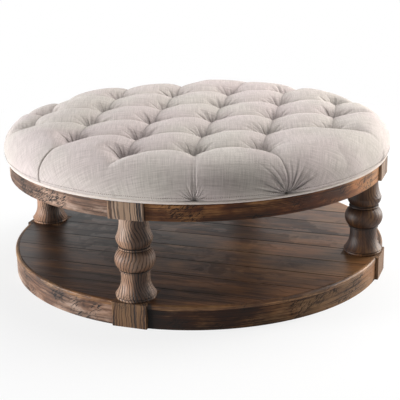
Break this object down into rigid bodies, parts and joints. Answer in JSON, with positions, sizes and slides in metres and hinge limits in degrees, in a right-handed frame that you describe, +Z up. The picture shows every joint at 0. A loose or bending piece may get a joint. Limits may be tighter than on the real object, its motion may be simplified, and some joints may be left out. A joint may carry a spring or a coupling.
{
  "type": "round tufted coffee table",
  "caption": "Round ottoman style coffee table: tufted linen cushion on a wooden ring frame, turned baluster legs on corner blocks, and a planked round plinth shelf below",
  "frame": {"origin": "on the floor, under the middle of the table", "axes": "+Z up; the shelf planks run along X; the legs stand on the X and Y axes, the right leg on +X and the front leg on -Y"},
  "size_m": [1.2236, 1.2219, 0.4909],
  "materials": {
    "turned_wood": "weathered oak, wire brushed and worn",
    "block_wood": "weathered oak, upright grain, wire brushed",
    "rail_wood": "weathered oak, grain along the curve, wire brushed",
    "shelf_wood": "weathered oak planks with a soft wax sheen",
    "inner_wood": "raw softwood",
    "plywood": "raw plywood",
    "linen": "greige linen weave over foam, deep tufted",
    "welt_linen": "linen covered piping",
    "dust_cloth": "black non-woven cloth",
    "twine": "waxed tufting twine",
    "steel": "zinc plated steel"
  },
  "bodies": {
    "root": {"right_leg": "turned_wood", "right_top_block": "block_wood", "right_base_block": "block_wood", "back_leg": "turned_wood", "back_top_block": "block_wood", "back_base_block": "block_wood", "left_leg": "turned_wood", "left_top_block": "block_wood", "left_base_block": "block_wood", "front_leg": "turned_wood", "front_top_block": "block_wood", "front_base_block": "block_wood", "right_back_top_rail": "rail_wood", "right_back_base_rail": "rail_wood", "right_back_shelf_lip": "shelf_wood", "back_left_top_rail": "rail_wood", "back_left_base_rail": "rail_wood", "back_left_shelf_lip": "shelf_wood", "left_front_top_rail": "rail_wood", "left_front_base_rail": "rail_wood", "left_front_shelf_lip": "shelf_wood", "front_right_top_rail": "rail_wood", "front_right_base_rail": "rail_wood", "front_right_shelf_lip": "shelf_wood", "shelf_plank_01": "shelf_wood", "shelf_plank_02": "shelf_wood", "shelf_plank_03": "shelf_wood", "shelf_plank_04": "shelf_wood", "shelf_plank_05": "shelf_wood", "shelf_plank_06": "shelf_wood", "shelf_plank_07": "shelf_wood", "shelf_plank_08": "shelf_wood", "shelf_plank_09": "shelf_wood", "shelf_plank_10": "shelf_wood", "cushion": "linen", "welt_cord": "welt_linen", "seat_deck": "plywood", "dust_cover": "dust_cloth", "tuft_ties": "twine", "tuft_washers": "steel", "seat_bearer_x": "inner_wood", "seat_bearer_y": "inner_wood", "shelf_beam": "inner_wood", "left_shelf_joist": "inner_wood", "middle_shelf_joist": "inner_wood", "right_shelf_joist": "inner_wood", "top_rail_tenons": "inner_wood", "base_rail_tenons": "inner_wood", "upper_leg_bolts": "steel", "upper_leg_nuts": "steel", "upper_leg_washers": "steel", "lower_leg_bolts": "steel", "lower_leg_nuts": "steel", "lower_leg_washers": "steel", "seat_screws": "steel"}
  },
  "joints": []
}
